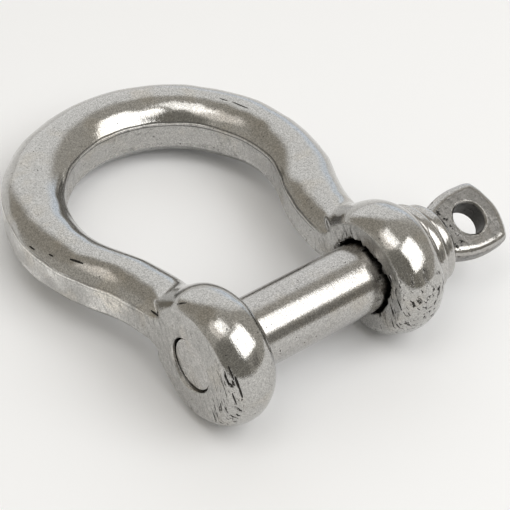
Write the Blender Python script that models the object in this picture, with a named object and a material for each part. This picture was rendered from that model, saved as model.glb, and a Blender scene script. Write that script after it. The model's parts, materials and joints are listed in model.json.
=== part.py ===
"""Bow shackle with a screw pin, in metres.

The shackle is built flat: +X runs along the pin towards its eye, +Y towards the crown and
+Z up through the bow. One empty then tips it onto the floor, where it rests on both ears
and the crown.
"""

import math

import bmesh
import bpy
from mathutils import Matrix, Vector

# Driving dimensions
PIN_RADIUS = 0.0050
JAW_HALF = 0.0103  # pin middle to an ear's inner face
EAR_THICKNESS = 0.0083
EAR_RADIUS = 0.0097
EAR_FLAT_RADIUS = 0.0064  # flat part of an ear's face, inside its round rim
EAR_SHIFT = -0.0003  # an ear's centre lies this far behind the pin axis
BORE_RADIUS = 0.0053  # clear hole in the right ear, and in the collar
GAP = 0.0003  # running gap between touching pieces

# Bow
LEG_END_Y = 0.0020
LEG_STRAIGHT_Y = 0.0076
FLARE_RADIUS = 0.0269
BOW_RADIUS = 0.0197
BAR_END_RADIUS = 0.0041
BAR_LEG_RADIUS = 0.00443  # reached at NECK_Y
BAR_CROWN_RADIUS = 0.00498  # reached SWELL_END before the crown
NECK_Y = 0.0120
SWELL_START_Y = 0.0190
SWELL_END = 0.0070

# Thread, right-handed
PITCH = 0.00125
PIN_CREST, PIN_ROOT, PIN_CREST_FLAT, PIN_ROOT_FLAT = 0.00430, 0.00360, 0.00020, 0.00024
EAR_CREST, EAR_ROOT, EAR_CREST_FLAT, EAR_ROOT_FLAT = 0.00463, 0.00394, 0.00014, 0.00031
COUNTERBORE_DEPTH = 0.0008
SHANK_END_X = -0.0107
PIN_END_X = -0.0179
PIN_CHAMFER = 0.00074  # takes the pin's end just below the thread's root
CORE_INSET = 0.0005  # the pin's plain core lies this far inside the thread's root

# Pin head
COLLAR_THICKNESS = 0.0019
COLLAR_RADIUS = 0.0068
COLLAR_EDGE = 0.0006
COLLAR_CORNER = COLLAR_EDGE / 3  # corner between the two facets of the collar's edge
SHOULDER_THICKNESS = 0.0030
SHOULDER_RADIUS = 0.00585
SHOULDER_END_RADIUS = 0.00485
SHOULDER_TAIL = 0.0009  # last step inwards, inside the eye
EYE_THICKNESS = 0.00356
EYE_EDGE = 0.0008
EYE_HOLE_X = 0.0298
EYE_HOLE_RADIUS = 0.0024
EYE_HOLE_CHAMFER = 0.00015
EYE_TURN = math.radians(27.6)  # the eye's plane turned about the pin, from flat
EYE_HALF_WIDTHS = (
    (0.0238, 0.0036),
    (0.0255, 0.0043),
    (0.0270, 0.0048),
    (0.0288, 0.0052),
    (0.0310, 0.0053),
    (0.0328, 0.00515),
    (0.0336, 0.0049),
    (0.0341, 0.0043),
    (0.0348, 0.0026),
)
EYE_TIP_X = 0.0353

# Facets
ROUND_STEPS = 36
THREAD_STEPS = 24
THREAD_START = math.radians(4)  # keeps the thread's facets off those of the round parts
BAR_SIDES = 28
FLARE_STEPS = 6
BOW_STEPS = 17
RIM_STEPS = 10
SHARP_ANGLE = math.radians(32)
WELD = 1e-7

EAR_MID_X = JAW_HALF + EAR_THICKNESS / 2
EAR_OUTER_X = JAW_HALF + EAR_THICKNESS
COLLAR_X = EAR_OUTER_X + GAP
SHOULDER_X = COLLAR_X + COLLAR_THICKNESS + GAP
PAST = 0.001  # how far a cutter runs past the face it cuts


def clear_scene():
    for old in list(bpy.data.objects):
        bpy.data.objects.remove(old, do_unlink=True)


def steel(name, colour, roughness):
    material = bpy.data.materials.new(name)
    material.use_nodes = True
    shader = material.node_tree.nodes["Principled BSDF"]
    shader.inputs["Base Color"].default_value = (*colour, 1.0)
    shader.inputs["Metallic"].default_value = 1.0
    shader.inputs["Roughness"].default_value = roughness
    return material


def add_object(name, mesh, helper=True):
    """Adds a smooth-shaded object. A helper only feeds a Boolean, so it is never rendered."""
    mesh.shade_smooth()
    mesh.set_sharp_from_angle(angle=SHARP_ANGLE)
    obj = bpy.data.objects.new(name, mesh)
    bpy.context.scene.collection.objects.link(obj)
    if helper:
        obj.hide_render = True
        obj.display_type = "WIRE"
    return obj


def mesh_from(name, bm):
    bmesh.ops.remove_doubles(bm, verts=bm.verts, dist=WELD)
    bmesh.ops.recalc_face_normals(bm, faces=bm.faces)
    mesh = bpy.data.meshes.new(name)
    bm.to_mesh(mesh)
    bm.free()
    return mesh


def lathe(name, profile, steps=ROUND_STEPS, helper=True):
    """A solid of revolution about X. The profile is (x, radius) pairs from axis to axis."""
    bm = bmesh.new()
    points = [bm.verts.new((x, 0.0, radius)) for x, radius in profile]
    edges = [bm.edges.new(pair) for pair in zip(points, points[1:])]
    bmesh.ops.spin(
        bm,
        geom=points + edges,
        cent=(0.0, 0.0, 0.0),
        axis=(1.0, 0.0, 0.0),
        angle=math.tau,
        steps=steps,
        use_merge=True,
    )
    return add_object(name, mesh_from(name, bm), helper)


def cylinder(name, x_from, x_to, radius):
    return lathe(name, [(x_from, 0.0), (x_from, radius), (x_to, radius), (x_to, 0.0)])


def boolean(target, tool, operation):
    modifier = target.modifiers.new(tool.name, "BOOLEAN")
    modifier.object = tool
    modifier.operation = operation
    modifier.solver = "EXACT"


def thread_solid(name, x_from, x_to, crest, root, crest_flat, root_flat):
    """A right-handed threaded rod at least as long as asked, with a ragged end to cut off."""
    outline = (
        (-crest_flat / 2, crest),
        (crest_flat / 2, crest),
        (PITCH / 2 - root_flat / 2, root),
        (PITCH / 2 + root_flat / 2, root),
    )
    start = math.floor(x_from / PITCH) - 1
    turns = math.ceil(x_to / PITCH) + 1 - start
    count = turns * THREAD_STEPS
    bm = bmesh.new()

    def point(step, x_offset, radius):
        turn = step / THREAD_STEPS
        angle = math.tau * turn + THREAD_START
        x = PITCH * (start + turn) + x_offset
        return bm.verts.new((x, radius * math.cos(angle), radius * math.sin(angle)))

    first = [point(step, *outline[0]) for step in range(count + THREAD_STEPS + 1)]
    rows = [
        [first[step]]
        + [point(step, *place) for place in outline[1:]]
        + [first[step + THREAD_STEPS]]
        for step in range(count + 1)
    ]
    for row, after in zip(rows, rows[1:]):
        for k in range(len(outline)):
            bm.faces.new((row[k], row[k + 1], after[k + 1], after[k]))
    low_end = first[: THREAD_STEPS + 1] + rows[0][-2:0:-1]
    high_end = first[count:] + rows[-1][-2:0:-1]
    for loop, x in ((low_end, PITCH * start), (high_end, PITCH * (start + turns + 1))):
        centre = bm.verts.new((x, 0.0, 0.0))
        for a, b in zip(loop, loop[1:] + loop[:1]):
            bm.faces.new((centre, a, b))
    return add_object(name, mesh_from(name, bm))


def bar_path():
    """(x, y, bar radius) along the bow's centreline, from one ear round to the other."""
    flare_x = EAR_MID_X + FLARE_RADIUS
    reach = FLARE_RADIUS + BOW_RADIUS
    bow_y = LEG_STRAIGHT_Y + math.sqrt(reach**2 - flare_x**2)
    meet = math.asin((bow_y - LEG_STRAIGHT_Y) / reach)
    half = [(EAR_MID_X, LEG_END_Y), (EAR_MID_X, (LEG_END_Y + LEG_STRAIGHT_Y) / 2)]
    for i in range(FLARE_STEPS):
        turn = math.pi - meet * i / FLARE_STEPS
        half.append(
            (flare_x + FLARE_RADIUS * math.cos(turn), LEG_STRAIGHT_Y + FLARE_RADIUS * math.sin(turn))
        )
    for i in range(BOW_STEPS + 1):
        turn = -meet + (math.pi / 2 + meet) * i / BOW_STEPS
        half.append((BOW_RADIUS * math.cos(turn), bow_y + BOW_RADIUS * math.sin(turn)))
    path = []
    swell_length = half[-1][1] - SWELL_END - SWELL_START_Y
    for x, y in half:
        grow = min(max((y - SWELL_START_Y) / swell_length, 0.0), 1.0)
        neck = min(max((y - LEG_END_Y) / (NECK_Y - LEG_END_Y), 0.0), 1.0)
        radius = BAR_END_RADIUS + (BAR_LEG_RADIUS - BAR_END_RADIUS) * neck
        path.append((x, y, radius + (BAR_CROWN_RADIUS - BAR_LEG_RADIUS) * grow))
    return path + [(-x, y, radius) for x, y, radius in reversed(path[:-1])]


def bent_bar(name):
    path = bar_path()
    curve = bpy.data.curves.new(name, "CURVE")
    curve.dimensions = "3D"
    curve.twist_mode = "Z_UP"
    curve.bevel_depth = 1.0
    curve.bevel_resolution = BAR_SIDES // 2 - 2
    curve.use_fill_caps = True
    spline = curve.splines.new("POLY")
    spline.points.add(len(path) - 1)
    for point, (x, y, radius) in zip(spline.points, path):
        point.co = (x, y, 0.0, 1.0)
        point.radius = radius
    guide = bpy.data.objects.new(name + "_guide", curve)
    bpy.context.scene.collection.objects.link(guide)
    bm = bmesh.new()
    bm.from_mesh(bpy.data.meshes.new_from_object(guide))
    bpy.data.objects.remove(guide, do_unlink=True)
    return add_object(name, mesh_from(name, bm), helper=False)


def ear(name, side):
    """A disc across the pin axis with flat faces and a full round rim."""
    profile = [(side * EAR_MID_X - EAR_THICKNESS / 2, 0.0)]
    for i in range(RIM_STEPS + 1):
        turn = math.pi * i / RIM_STEPS
        profile.append(
            (
                side * EAR_MID_X - EAR_THICKNESS / 2 * math.cos(turn),
                EAR_FLAT_RADIUS + (EAR_RADIUS - EAR_FLAT_RADIUS) * math.sin(turn),
            )
        )
    profile.append((side * EAR_MID_X + EAR_THICKNESS / 2, 0.0))
    disc = lathe(name, profile)
    disc.location.y = EAR_SHIFT
    return disc


def make_bow(material):
    bow = bent_bar("shackle_bow")
    boolean(bow, ear("left_ear", -1), "UNION")
    boolean(bow, ear("right_ear", 1), "UNION")
    boolean(
        bow,
        thread_solid(
            "left_thread_cutter",
            -EAR_OUTER_X,
            -JAW_HALF,
            EAR_CREST,
            EAR_ROOT,
            EAR_CREST_FLAT,
            EAR_ROOT_FLAT,
        ),
        "DIFFERENCE",
    )
    inner_face = -JAW_HALF
    boolean(
        bow,
        cylinder("counterbore_cutter", inner_face - COUNTERBORE_DEPTH, inner_face + PAST, BORE_RADIUS),
        "DIFFERENCE",
    )
    boolean(
        bow,
        cylinder("right_bore_cutter", JAW_HALF - PAST, EAR_OUTER_X + PAST, BORE_RADIUS),
        "DIFFERENCE",
    )
    bow.data.materials.append(material)
    return bow


def make_collar(material):
    far = COLLAR_X + COLLAR_THICKNESS
    collar = lathe(
        "pin_collar",
        [
            (COLLAR_X, 0.0),
            (COLLAR_X, COLLAR_RADIUS - COLLAR_EDGE),
            (COLLAR_X + COLLAR_CORNER, COLLAR_RADIUS - COLLAR_CORNER),
            (COLLAR_X + COLLAR_EDGE, COLLAR_RADIUS),
            (far - COLLAR_EDGE, COLLAR_RADIUS),
            (far - COLLAR_CORNER, COLLAR_RADIUS - COLLAR_CORNER),
            (far, COLLAR_RADIUS - COLLAR_EDGE),
            (far, 0.0),
        ],
        helper=False,
    )
    boolean(collar, cylinder("collar_bore_cutter", COLLAR_X - PAST, far + PAST, BORE_RADIUS), "DIFFERENCE")
    collar.data.materials.append(material)
    return collar


def eye_plate(name):
    """The flat eye: its outline across the pin, raised to its thickness, with round edges."""
    side = list(EYE_HALF_WIDTHS)
    outline = side + [(EYE_TIP_X, 0.0)] + [(x, -half) for x, half in reversed(side)]
    bm = bmesh.new()
    low = [bm.verts.new((x, y, -EYE_THICKNESS / 2)) for x, y in outline]
    face = bm.faces.new(low)
    raised = bmesh.ops.extrude_face_region(bm, geom=[face])["geom"]
    for vert in raised:
        if isinstance(vert, bmesh.types.BMVert):
            vert.co.z = EYE_THICKNESS / 2
    plate = add_object(name, mesh_from(name, bm))
    edge = plate.modifiers.new("round_edges", "BEVEL")
    edge.width = EYE_EDGE
    edge.segments = 3
    edge.limit_method = "ANGLE"
    edge.angle_limit = math.radians(60)
    plate.rotation_euler.x = EYE_TURN
    return plate


def eye_hole_cutter():
    """A cylinder through the plate with a small chamfer at each of its faces."""
    face = EYE_THICKNESS / 2
    wide = EYE_HOLE_RADIUS + EYE_HOLE_CHAMFER + PAST
    hole = lathe(
        "eye_hole_cutter",
        [
            (-face - PAST, 0.0),
            (-face - PAST, wide),
            (-face + EYE_HOLE_CHAMFER, EYE_HOLE_RADIUS),
            (face - EYE_HOLE_CHAMFER, EYE_HOLE_RADIUS),
            (face + PAST, wide),
            (face + PAST, 0.0),
        ],
    )
    up = Vector((0.0, -math.sin(EYE_TURN), math.cos(EYE_TURN)))
    along = up.to_track_quat("X", "Z").to_matrix().to_4x4()
    hole.matrix_world = Matrix.Translation((EYE_HOLE_X, 0.0, 0.0)) @ along
    return hole


def make_pin(material):
    shoulder_end = SHOULDER_X + SHOULDER_THICKNESS
    core = PIN_ROOT - CORE_INSET
    pin = lathe(
        "screw_pin",
        [
            (PIN_END_X + PAST, 0.0),
            (PIN_END_X + PAST, core),
            (SHANK_END_X, core),
            (SHANK_END_X, PIN_RADIUS - GAP),
            (SHANK_END_X + GAP, PIN_RADIUS),
            (SHOULDER_X, PIN_RADIUS),
            (SHOULDER_X, SHOULDER_RADIUS - GAP),
            (SHOULDER_X + GAP, SHOULDER_RADIUS),
            (SHOULDER_X + SHOULDER_THICKNESS / 2, SHOULDER_RADIUS - GAP / 2),
            (shoulder_end - GAP, SHOULDER_END_RADIUS + GAP),
            (shoulder_end, SHOULDER_END_RADIUS),
            (shoulder_end + GAP, SHOULDER_END_RADIUS - SHOULDER_TAIL),
            (shoulder_end + GAP, 0.0),
        ],
        helper=False,
    )
    thread = thread_solid(
        "pin_thread", PIN_END_X, SHANK_END_X, PIN_CREST, PIN_ROOT, PIN_CREST_FLAT, PIN_ROOT_FLAT
    )
    envelope = lathe(
        "thread_envelope",
        [
            (PIN_END_X, 0.0),
            (PIN_END_X, PIN_CREST - PIN_CHAMFER),
            (PIN_END_X + PIN_CHAMFER + GAP, PIN_CREST + GAP),
            (SHANK_END_X + GAP, PIN_CREST + GAP),
            (SHANK_END_X + GAP, 0.0),
        ],
    )
    boolean(thread, envelope, "INTERSECT")
    boolean(pin, thread, "UNION")
    boolean(pin, eye_plate("eye_plate"), "UNION")
    boolean(pin, eye_hole_cutter(), "DIFFERENCE")
    pin.data.materials.append(material)
    return pin


def lay_down(pieces):
    """Parents the pieces to an empty that rests both ears and the crown on the floor.

    The world's origin is under the middle of the box around the whole shackle.
    """
    path = bar_path()
    crown_y = max(y for _, y, _ in path)
    widest = max(x + radius for x, _, radius in path)
    tip = math.asin((EAR_RADIUS - BAR_CROWN_RADIUS) / (crown_y - EAR_SHIFT))
    front = crown_y * math.cos(tip) + BAR_CROWN_RADIUS
    back = EAR_SHIFT * math.cos(tip) - EAR_RADIUS
    frame = bpy.data.objects.new("frame", None)
    bpy.context.scene.collection.objects.link(frame)
    frame.rotation_euler.x = -tip
    frame.location = (
        (widest - EYE_TIP_X) / 2,
        -(front + back) / 2,
        EAR_RADIUS + EAR_SHIFT * math.sin(tip),
    )
    helpers = [obj for obj in bpy.data.objects if obj.hide_render]
    for obj in pieces + helpers:
        obj.parent = frame


def main():
    clear_scene()
    cast = steel("cast_stainless", (0.58, 0.57, 0.55), 0.38)
    polished = steel("polished_stainless", (0.66, 0.65, 0.63), 0.24)
    rough = steel("tumbled_stainless", (0.54, 0.53, 0.51), 0.42)
    lay_down([make_bow(cast), make_pin(rough), make_collar(polished)])


main()
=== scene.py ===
"""Looks of a forged stainless bow shackle with a screw pin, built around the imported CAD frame.

The shapes are made in the shackle's own frame and in millimetres: +X along the pin towards
its eye, +Y towards the crown and +Z up through the bow, from the pin's axis midway between
the ears. PLACE takes them to the row frame, in metres.
"""

import json
import math

import bmesh
import bpy
import numpy as np
from mathutils import Matrix, Vector


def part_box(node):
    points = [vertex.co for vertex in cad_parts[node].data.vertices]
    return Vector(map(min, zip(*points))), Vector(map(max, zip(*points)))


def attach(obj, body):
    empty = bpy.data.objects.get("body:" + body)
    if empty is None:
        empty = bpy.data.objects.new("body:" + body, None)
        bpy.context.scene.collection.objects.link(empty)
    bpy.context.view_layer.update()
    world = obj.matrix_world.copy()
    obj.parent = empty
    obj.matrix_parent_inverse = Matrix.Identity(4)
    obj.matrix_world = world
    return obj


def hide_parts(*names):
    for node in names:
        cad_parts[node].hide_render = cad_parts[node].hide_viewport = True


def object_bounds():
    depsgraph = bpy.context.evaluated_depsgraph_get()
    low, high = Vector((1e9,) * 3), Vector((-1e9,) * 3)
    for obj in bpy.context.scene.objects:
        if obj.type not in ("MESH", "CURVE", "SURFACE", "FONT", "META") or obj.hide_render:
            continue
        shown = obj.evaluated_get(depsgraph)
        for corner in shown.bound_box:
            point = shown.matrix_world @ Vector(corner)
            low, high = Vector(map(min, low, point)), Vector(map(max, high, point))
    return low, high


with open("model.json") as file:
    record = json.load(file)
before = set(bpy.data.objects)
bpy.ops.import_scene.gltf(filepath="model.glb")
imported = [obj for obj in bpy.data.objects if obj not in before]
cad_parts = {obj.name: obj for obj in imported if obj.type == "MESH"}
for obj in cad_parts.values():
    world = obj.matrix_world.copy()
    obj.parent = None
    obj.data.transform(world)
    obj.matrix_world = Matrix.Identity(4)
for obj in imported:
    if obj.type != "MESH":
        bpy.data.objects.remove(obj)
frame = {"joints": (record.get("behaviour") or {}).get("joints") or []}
cad_low, cad_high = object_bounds()

MM = 0.001

# Bow, as in the CAD part
JAW_HALF = 10.3
EAR_THICKNESS = 8.3
EAR_RADIUS = 9.7
EAR_FLAT_RADIUS = 6.7
EAR_SHIFT = -0.3
LEG_END_Y = 2.0
LEG_STRAIGHT_Y = 7.6
NECK_Y = 12.0
GROW_FROM_Y = 19.0
FLARE_RADIUS = 26.9
BOW_RADIUS = 19.7
BAR_END_RADIUS = 4.1
BAR_LEG_RADIUS = 4.43
BAR_CROWN_RADIUS = 4.98
BORE_RADIUS = 5.3
GAP = 0.3

# Forged and trimmed surface of the bow
LAND_DEPTH = 0.42  # how far the flash lands are trimmed into the bar's two sides
FACE_TRIM = 0.30  # how far the ears' faces are ground below their full thickness
RIDGE_HEIGHT = 0.09  # fine lip along the inner land's edges
RIDGE_WIDTH = 0.22
OUTER_RIDGE = 0.4  # the outer land's lip, as a share of the inner one's
SIDE_BLEND = 0.2  # how softly a leg's sides run into its ear, up to SIDE_TOP
SIDE_TOP = 2.4
JOINT_BLEND = 2.8  # how softly its top and bottom do, from JOINT_FOOT
JOINT_FOOT = 4.2
WAVE_HEIGHT = 0.045
WAVE_SINK = 1.2  # the waves lie this many wave heights below the full size
WEB_HEIGHT = 1.8  # half-height of a leg's land where the web towards its ear begins
WEB_TOP_Y = 9.6
WEB_SLOPE = 0.48
WEB_EDGE = 0.35
WEB_BLEND = 0.35
NICKS = (  # both ends of each cut near the surface, and its half-width
    # Left side of the bow
    ((-21.45, 23.28, 3.70), (-20.30, 20.68, 3.85), 0.17),
    ((-23.51, 29.85, 2.50), (-23.37, 28.31, 2.60), 0.14),
    ((-22.60, 26.20, 3.05), (-22.35, 25.10, 3.10), 0.12),
    # Right of the crown
    ((17.06, 38.07, 4.72), (18.24, 34.49, 4.68), 0.12),
    ((16.10, 39.60, 4.74), (16.90, 37.90, 4.72), 0.10),
    # Foot of the left leg, and the left ear above it
    ((-17.95, 9.40, 2.70), (-18.12, 7.60, 2.95), 0.15),
    ((-17.66, 3.91, 7.43), (-16.95, 2.10, 8.65), 0.13),
    # Worn front of the left ear
    ((-17.60, -6.90, 5.40), (-17.40, -8.20, 3.20), 0.13),
    ((-17.35, -8.00, 4.20), (-17.10, -8.90, 2.00), 0.19),
    ((-17.70, -6.60, 4.60), (-17.60, -7.60, 2.40), 0.11),
    ((-17.20, -8.70, 2.80), (-16.90, -9.30, 0.60), 0.15),
    ((-17.90, -6.20, 3.90), (-17.80, -7.10, 1.50), 0.09),
    ((-17.50, -7.90, 1.80), (-17.20, -8.60, -0.60), 0.12),
    # Jaw side of the right ear, in front of the pin
    ((10.70, -5.20, 4.40), (10.70, -6.40, 2.20), 0.20),
    ((10.70, -6.30, 2.80), (10.70, -6.90, 0.40), 0.13),
)
BOW_VOXEL = 0.27

# Thread
PITCH = 1.25
THREAD_TURN = 0.07  # angle at which the pin's thread and the ear's both start, so they mesh
PIN_CREST = 4.30
PIN_ROOT = 3.60
PIN_CREST_FLAT = 0.20
PIN_ROOT_FLAT = 0.24
EAR_CREST = 4.63
EAR_ROOT = 3.94
EAR_CREST_FLAT = 0.14
EAR_ROOT_FLAT = 0.31
COUNTERBORE_DEPTH = 0.8
COUNTERBORE_TAPER = 0.05
SHANK_END_X = -10.7
PIN_END_X = -17.9
PIN_CHAMFER = 0.70
PIN_END_EDGE = 0.05
LIP_RADIUS = 3.90  # plain mouth of the threaded ear, in front of the pin's end
LIP_DEPTH = 0.45
LIP_CHAMFER = 0.12
LIP_OVERLAP = 0.2  # how far the plain mouth runs into the thread

# Torn mouths of the clear bore, as a drill leaves them
MOUTH_STOPS = (0.0, 0.25, 0.6, 1.1)  # depths of the cutter's rings
MOUTH_FADE = 0.35  # depth over which a mouth's flare dies away
MOUTH_FLARE = (0.30, 0.16)  # of the jaw's side and of the outer side
MOUTH_RATES = (3, 5, 8, 11, 16, 23, 31, 43, 59)  # ripples a turn
MOUTH_RIPPLE_FADE = 0.04  # how fast the ripples weaken as they get finer
MOUTH_RAGGED = 0.42
MOUTH_LEAST = 0.1
TEAR_FLARE = 0.45
TEARS = ((2.5, 0.55, 1.0), (1.2, 0.8, 0.5))  # angle, width and strength of each torn stretch

# Pin head
PIN_RADIUS = 5.0
SHANK_EDGE = 0.35
SHANK_CORE_INSET = 0.5  # how far the shank's core lies below the thread's root
SHANK_FOOT_INSET = 0.2
SHANK_RINGS = 42
SHANK_RING_START = 1.0
SHANK_RING_STEP = 0.75
COLLAR_THICKNESS = 1.9
COLLAR_RADIUS = 6.8
COLLAR_EDGE = 0.7
SHOULDER_THICKNESS = 3.0
SHOULDER_RADIUS = 5.85
SHOULDER_END_RADIUS = 4.85
BEAD_EDGE = 0.55  # round edge of the shoulder
BEAD_TOP = 1.3  # length of its widest part
BEAD_TAPER = 0.9
EYE_BLEND = 0.9
EYE_THICKNESS = 3.56
EYE_EDGE = 1.3
EYE_HOLE_X = 29.8
EYE_HOLE_RADIUS = 2.4
EYE_HOLE_CHAMFER = 0.3
EYE_TURN = math.radians(27.6)
EYE_TIP_X = 35.3
EYE_OUTLINE = (
    (22.6, 3.3), (23.8, 3.6), (25.5, 4.3), (27.0, 4.8), (28.8, 5.2), (31.0, 5.3), (32.8, 5.15),
    (33.6, 4.9), (34.1, 4.3), (34.8, 2.6), (EYE_TIP_X, 0.0),
)
EYE_CURVE_STEPS = 4
HEAD_WAVE_HEIGHT = 0.022
HEAD_VOXEL = 0.16

EAR_MID_X = JAW_HALF + EAR_THICKNESS / 2
EAR_OUTER_X = JAW_HALF + EAR_THICKNESS
COLLAR_X = EAR_OUTER_X + GAP
SHOULDER_X = COLLAR_X + COLLAR_THICKNESS + GAP
FLARE_X = EAR_MID_X + FLARE_RADIUS
BOW_Y = LEG_STRAIGHT_Y + math.sqrt((FLARE_RADIUS + BOW_RADIUS) ** 2 - FLARE_X**2)
MEET = math.asin((BOW_Y - LEG_STRAIGHT_Y) / (FLARE_RADIUS + BOW_RADIUS))
CROWN_Y = BOW_Y + BOW_RADIUS
PAST = 1.0  # how far a cutter runs past the face it cuts
BORE_STEPS = 96
TURNED_STEPS = 144
SHARP_ANGLE = math.radians(38)

# Finish of the bow: where each zone fades in, from none to full, and how strong it is
EAR_ZONE = (11.5, 9.0)  # y, on the legs
OUTER_LAND_ZONE = (11.5, 14.0)  # y
LAND_ZONE = (-0.12, 0.02)  # past a land's plane
LAND_SCUFF = 0.25
FACE_ZONE = (-0.25, -0.02)  # past an ear's ground face
RIM_ZONE = (EAR_FLAT_RADIUS, EAR_FLAT_RADIUS + 1.5)  # from an ear's middle
UPPER_ZONE = (-0.6, 0.4)  # z
OUTER_SEAM = 0.45
WORN_FRONT_ZONE = (-2.0, -5.5)  # y
WORN_HEIGHT_ZONE = (7.5, 4.5)  # distance from WORN_Z
WORN_Z = -0.5
WORN_UNDER_ZONE = (-1.0, -5.0)  # z
WORN_UNDER = 0.4
WORN_RING_ZONE = (4.0, 5.6)  # from an ear's middle
WORN_FACE_ZONE = (-16.0, -17.2)  # x, on the left ear
WORN_REST = 0.35  # what the left ear's wear drops to away from its face
BORE_SCUFF_ZONE = (7.6, 5.8)  # from the pin's axis
BORE_SCUFF = 0.95
BORE_SCUFF_BACK = 0.4  # the same behind BORE_BACK_Y
BORE_BACK_Y = 6.0
# Painted shade, with some soot, darkening the clear bore's jaw-side mouth
BORE_MOUTH_DEPTH = 0.5  # how far into the jaw the clear bore's painted shade, with some soot, reaches
BORE_SHADE_REACH = 1.6  # how far past the bore's wall it can reach at all
BORE_SHADE_EDGE = 0.4  # how far it does reach
TORN_SHADE_EDGE = 0.7  # how much farther it does where the mouth is torn
TORN_ANGLE = 2.4
TORN_WIDTH = 0.75
BORE_WALL = 0.05
NICK_DEPTH = 0.04
# how dark the painted shade inside the nicks is
NICK_SHADE = 0.95
SEAM_WANDER = 0.09
SEAM_LIMIT = 5.0

# Finish of the pin and the collar
EYE_ZONE = (3.2, 4.2)  # past the shoulder's start
SHANK_ZONE = (3.4, 2.6)
EYE_BEVEL_ZONE = (0.9, 1.1)  # from the eye's middle plane
EYE_BEVEL_SHINE = 0.9
EYE_BEVEL_SCUFF = 0.3
EYE_FLAT_ZONE = (0.15 - EYE_EDGE, -EYE_EDGE)  # from the eye's outline
EYE_FLAT_DEPTH = 0.3
HOLE_BEVEL_ZONE = (EYE_HOLE_RADIUS + 0.5, EYE_HOLE_RADIUS + 0.3)  # from the hole's middle
HOLE_WALL_INSET = 0.25
# how dark the painted shade on the eye hole's wall is
HOLE_SHADE = 0.88
PITTED_ZONE = (28.0, 26.0)  # x
END_FACE_DEPTH = 0.04
END_FACE_MATTE = 0.4
COLLAR_BORE_WALL = 0.1

# Studio, in the row frame
FLOOR_HALF = 1.6
LAMP_DISTANCE = 0.60
WARM_WHITE = (1.0, 0.995, 0.985)
ROOM_COLOUR = (0.46, 0.44, 0.40)
ROOM_STRENGTH = 1.16
ROOM = (  # azimuth, elevation, core and edge half-angles in degrees, colour
    (-160.0, 35.0, 24.0, 40.0, (0.37, 0.345, 0.30)),  # brown room behind, on the left
    (-98.0, 60.0, 14.0, 21.0, (0.95, 0.90, 0.83)),  # lit wall on the left
    (150.0, 20.0, 30.0, 46.0, (0.92, 0.92, 0.91)),  # pale panel behind, on the right
    (125.0, -2.0, 6.0, 26.0, (0.82, 0.90, 1.0)),  # cool window low on the right
    (-35.0, 14.0, 36.0, 54.0, (0.24, 0.23, 0.205)),  # dark room behind the camera
    (45.0, 8.0, 16.0, 30.0, (0.44, 0.42, 0.38)),  # dim room under the key light
    (29.0, 14.0, 5.0, 14.0, (0.22, 0.21, 0.19)),  # dark gap right below it
)

# Camera, in the shackle's frame, with its angles as way_to takes them
VIEW_AZIMUTH = -39.04
VIEW_ELEVATION = 40.62
VIEW_ROLL = math.radians(1.60)
VIEW_DISTANCE = 237.4
VIEW_TARGET = (1.81, 12.22, 0.0)
LENS = 121.7


def shackle_to_row():
    """The matrix from the shackle's frame in millimetres to the row frame in metres."""
    low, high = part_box("shackle_bow")
    turn = next(joint for joint in frame["joints"] if joint["name"] == "pin_turn")
    _, axis_y, axis_z = turn["pos_m"]
    crown_radius = BAR_CROWN_RADIUS * MM
    tip = math.atan2(axis_z - crown_radius, high.y - crown_radius - axis_y)
    origin = Vector(((low.x + high.x) / 2, axis_y, axis_z))
    return Matrix.Translation(origin) @ Matrix.Rotation(-tip, 4, "X") @ Matrix.Scale(MM, 4)


PLACE = shackle_to_row()


# ---- distance fields, on arrays of points in the shackle's frame ----


def smooth_min(a, b, blend):
    mix = np.clip(0.5 + 0.5 * (b - a) / blend, 0.0, 1.0)
    return b + (a - b) * mix - blend * mix * (1.0 - mix)


def smooth_step(low, high, value):
    share = np.clip((value - low) / (high - low), 0.0, 1.0)
    return share * share * (3.0 - 2.0 * share)


def waves(points, wavelength, seed, count=10):
    """A smooth random field from about -1 to 1, the sum of plane waves."""
    rng = np.random.default_rng(seed)
    total = np.zeros(len(points))
    for _ in range(count):
        way = rng.normal(size=3)
        way *= math.tau / (wavelength * rng.uniform(0.6, 1.5) * np.linalg.norm(way))
        total += np.sin(points @ way + rng.uniform(0.0, math.tau))
    return total / math.sqrt(count)


def outline_distance(across, up, outline):
    """Signed distance to a closed outline of (across, up) corners, negative inside."""
    nearest = np.full(len(across), np.inf)
    inside = np.zeros(len(across), bool)
    for (ax, ay), (bx, by) in zip(outline, outline[1:] + outline[:1]):
        ex, ey = bx - ax, by - ay
        px, py = across - ax, up - ay
        share = np.clip((px * ex + py * ey) / (ex * ex + ey * ey), 0.0, 1.0)
        nearest = np.minimum(nearest, np.hypot(px - ex * share, py - ey * share))
        if ay != by:
            crosses = ((ay > up) != (by > up)) & (px < (up - ay) * ex / ey)
            inside ^= crosses
    return np.where(inside, -nearest, nearest)


def rounded_slab(flat, raised, half_thickness, edge):
    """A slab of a 2D distance field, with edges of that radius."""
    a = flat + edge
    b = np.abs(raised) - half_thickness + edge
    outside = np.hypot(np.maximum(a, 0.0), np.maximum(b, 0.0))
    return outside + np.minimum(np.maximum(a, b), 0.0) - edge


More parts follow.
